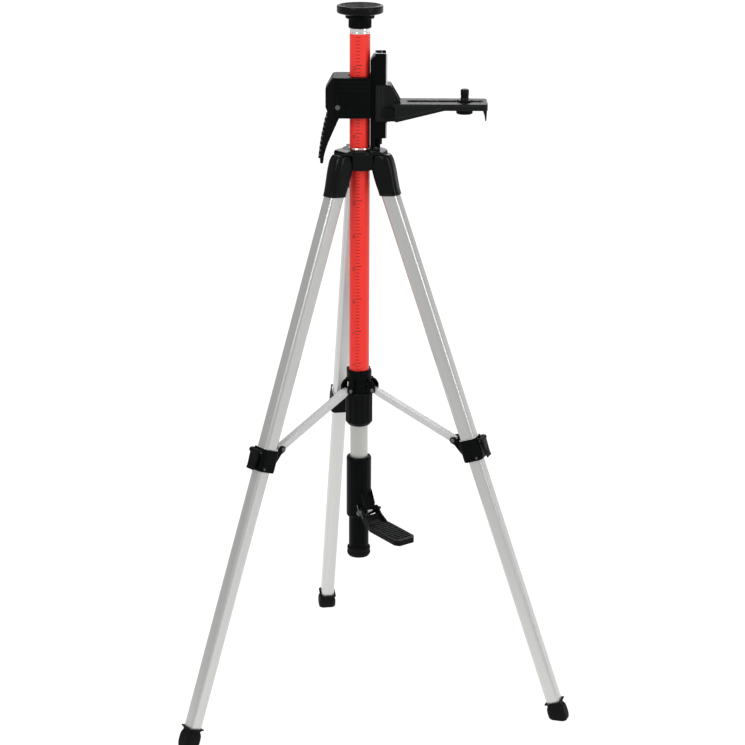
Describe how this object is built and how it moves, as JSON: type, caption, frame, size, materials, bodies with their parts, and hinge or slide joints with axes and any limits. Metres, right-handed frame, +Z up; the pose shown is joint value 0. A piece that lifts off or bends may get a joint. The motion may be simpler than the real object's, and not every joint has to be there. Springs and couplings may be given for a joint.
{
  "type": "laser level tripod pole",
  "caption": "Telescopic laser pole with a ceiling pad, a clamp-on laser platform with fine height adjustment, a foot pedal and a folding tripod with telescopic legs and braces.",
  "frame": {"origin": "on the pole's axis, at the level of the floor under the three leg feet", "axes": "+Z up along the pole; +X from the pole along the laser platform; the picture looks along +Y"},
  "size_m": [0.5955, 0.5696, 1.072],
  "materials": {
    "red_tube": "smooth",
    "raw_steel": "satin",
    "alu_leg": "satin",
    "black_plastic": "matte",
    "black_metal": "satin",
    "rubber": "matte",
    "pale_plastic": "matte"
  },
  "bodies": {
    "mast": {"outer_tube": "red_tube", "coupling_ferrule": "raw_steel", "pad_carrier": "black_plastic", "lock_body": "black_plastic", "tripod_hub": "black_plastic", "hub_ring": "raw_steel", "hub_pins": "raw_steel"},
    "pad": {"pad_disc": "black_plastic", "pad_facing": "rubber"},
    "lock_nut": {"lock_nut": "black_plastic"},
    "inner_pole": {"inner_tube": "alu_leg", "guide_bush": "pale_plastic", "foot_housing": "black_plastic", "pedal_pin": "raw_steel", "pedal_spring": "raw_steel", "foot_spring": "raw_steel"},
    "pedal": {"foot_pedal": "black_plastic"},
    "pole_foot": {"foot_tube": "black_metal", "foot_rubber": "rubber"},
    "carriage": {"clamp_body": "black_plastic", "cam_pin": "raw_steel", "guide_rail": "black_metal", "rail_screws": "raw_steel"},
    "shoe": {"clamp_shoe": "black_plastic"},
    "cam_lever": {"cam_lever": "black_plastic"},
    "arm": {"arm_slider": "black_plastic", "laser_arm": "black_metal", "arm_screws": "raw_steel"},
    "adjust_knob": {"adjust_knob": "black_plastic"},
    "stud": {"laser_stud": "black_metal"},
    "stud_knob": {"stud_knob": "black_plastic"},
    "collar": {"brace_collar": "black_plastic", "collar_rivets": "raw_steel"},
    "leg_1": {"leg_cap_1": "black_plastic", "upper_leg_1": "alu_leg", "leg_lock_1": "black_plastic", "leg_pins_1": "raw_steel"},
    "lower_leg_1": {"lower_leg_1": "alu_leg", "leg_foot_1": "rubber"},
    "lock_lever_1": {"lock_lever_1": "black_plastic"},
    "brace_1": {"brace_1": "alu_leg"},
    "leg_2": {"leg_cap_2": "black_plastic", "upper_leg_2": "alu_leg", "leg_lock_2": "black_plastic", "leg_pins_2": "raw_steel"},
    "lower_leg_2": {"lower_leg_2": "alu_leg", "leg_foot_2": "rubber"},
    "lock_lever_2": {"lock_lever_2": "black_plastic"},
    "brace_2": {"brace_2": "alu_leg"},
    "leg_3": {"leg_cap_3": "black_plastic", "upper_leg_3": "alu_leg", "leg_lock_3": "black_plastic", "leg_pins_3": "raw_steel"},
    "lower_leg_3": {"lower_leg_3": "alu_leg", "leg_foot_3": "rubber"},
    "lock_lever_3": {"lock_lever_3": "black_plastic"},
    "brace_3": {"brace_3": "alu_leg"}
  },
  "joints": [
    {"name": "pad_swivel", "type": "hinge", "parent": "mast", "child": "pad", "pos_m": [0, 0, 1.06], "axis": [0, 0, 1], "continuous": true},
    {"name": "lock_nut_turn", "type": "hinge", "parent": "mast", "child": "lock_nut", "pos_m": [0, 0, 0.46], "axis": [0, 0, 1], "range_deg": [0, 90]},
    {"name": "inner_pole_slide", "type": "slide", "parent": "mast", "child": "inner_pole", "axis": [0, 0, 1], "range_m": [-0.205, 0.045]},
    {"name": "pedal_hinge", "type": "hinge", "parent": "inner_pole", "child": "pedal", "pos_m": [0.01573, -0.01943, 0.302], "axis": [-0.7771, -0.6293, 0], "range_deg": [0, 60], "stiffness_Nm_per_rad": 0.6, "springref_deg": -20.05},
    {"name": "foot_slide", "type": "slide", "parent": "inner_pole", "child": "pole_foot", "axis": [0, 0, 1], "range_m": [0, 0.014], "deforming": ["foot_spring"]},
    {"name": "carriage_slide", "type": "slide", "parent": "mast", "child": "carriage", "axis": [0, 0, 1], "range_m": [0, 0.027]},
    {"name": "cam_lever_hinge", "type": "hinge", "parent": "carriage", "child": "cam_lever", "pos_m": [-0.032, 0, 0.927], "axis": [0, 1, 0], "range_deg": [0, 100]},
    {"name": "shoe_slide", "type": "slide", "parent": "carriage", "child": "shoe", "axis": [-1, 0, 0], "range_m": [0, 0.0008]},
    {"name": "arm_slide", "type": "slide", "parent": "carriage", "child": "arm", "axis": [0, 0, 1], "range_m": [-0.01, 0.024]},
    {"name": "adjust_knob_turn", "type": "hinge", "parent": "arm", "child": "adjust_knob", "pos_m": [0.0419, 0, 0.916], "axis": [0, -1, 0], "range_deg": [-58.5, 139]},
    {"name": "stud_slide", "type": "slide", "parent": "arm", "child": "stud", "axis": [1, 0, 0], "range_m": [-0.076, 0.013]},
    {"name": "stud_knob_turn", "type": "hinge", "parent": "stud", "child": "stud_knob", "pos_m": [0.153, 0, 0.92], "axis": [0, 0, 1], "continuous": true},
    {"name": "leg_fold_1", "type": "hinge", "parent": "mast", "child": "leg_1", "pos_m": [0.03195, -0.01163, 0.838], "axis": [0.342, 0.9397, 0], "range_deg": [0, 14.42]},
    {"name": "leg_fold_2", "type": "hinge", "parent": "mast", "child": "leg_2", "pos_m": [-0.02605, -0.02185, 0.838], "axis": [0.6428, -0.766, 0], "range_deg": [0, 14.44]},
    {"name": "leg_fold_3", "type": "hinge", "parent": "mast", "child": "leg_3", "pos_m": [-0.0059, 0.03348, 0.838], "axis": [-0.9848, -0.1736, 0], "range_deg": [0, 14.44]},
    {"name": "collar_slide", "type": "slide", "parent": "mast", "child": "collar", "axis": [0, 0, 1], "range_m": [0, 0.06124]},
    {"name": "brace_hinge_1", "type": "hinge", "parent": "leg_1", "child": "brace_1", "pos_m": [0.14375, -0.05232, 0.42994], "axis": [0.342, 0.9397, 0], "range_deg": [0, 39.76]},
    {"name": "lower_leg_slide_1", "type": "slide", "parent": "leg_1", "child": "lower_leg_1", "axis": [-0.3125, 0.1137, 0.9431], "range_m": [0, 0.37]},
    {"name": "lock_lever_hinge_1", "type": "hinge", "parent": "leg_1", "child": "lock_lever_1", "pos_m": [0.18468, -0.06722, 0.43512], "axis": [-0.342, -0.9397, 0], "range_deg": [0, 110]},
    {"name": "brace_hinge_2", "type": "hinge", "parent": "leg_2", "child": "brace_2", "pos_m": [-0.11718, -0.09833, 0.42994], "axis": [0.6428, -0.766, 0], "range_deg": [0, 39.76]},
    {"name": "lower_leg_slide_2", "type": "slide", "parent": "leg_2", "child": "lower_leg_2", "axis": [0.2548, 0.2138, 0.9431], "range_m": [0, 0.37]},
    {"name": "lock_lever_hinge_2", "type": "hinge", "parent": "leg_2", "child": "lock_lever_2", "pos_m": [-0.15055, -0.12633, 0.43512], "axis": [-0.6428, 0.766, 0], "range_deg": [0, 110]},
    {"name": "brace_hinge_3", "type": "hinge", "parent": "leg_3", "child": "brace_3", "pos_m": [-0.02656, 0.15065, 0.42994], "axis": [-0.9848, -0.1736, 0], "range_deg": [0, 39.76]},
    {"name": "lower_leg_slide_3", "type": "slide", "parent": "leg_3", "child": "lower_leg_3", "axis": [0.0577, -0.3275, 0.9431], "range_m": [0, 0.37]},
    {"name": "lock_lever_hinge_3", "type": "hinge", "parent": "leg_3", "child": "lock_lever_3", "pos_m": [-0.03413, 0.19354, 0.43512], "axis": [0.9848, 0.1736, 0], "range_deg": [0, 110]}
  ],
  "couplings": [
    {"joint": "foot_slide", "follows": "pedal_hinge", "m_per_rad": 0.013274},
    {"joint": "shoe_slide", "follows": "cam_lever_hinge", "m_per_rad": 0.0004526},
    {"joint": "adjust_knob_turn", "follows": "arm_slide", "rad_per_m": 100},
    {"joint": "leg_fold_2", "follows": "leg_fold_1", "ratio": 1},
    {"joint": "leg_fold_3", "follows": "leg_fold_1", "ratio": 1},
    {"joint": "collar_slide", "follows": "leg_fold_1", "m_per_rad": 0.24322},
    {"joint": "brace_hinge_1", "follows": "leg_fold_1", "ratio": 2.7551},
    {"joint": "brace_hinge_2", "follows": "leg_fold_1", "ratio": 2.7551},
    {"joint": "brace_hinge_3", "follows": "leg_fold_1", "ratio": 2.7551}
  ]
}
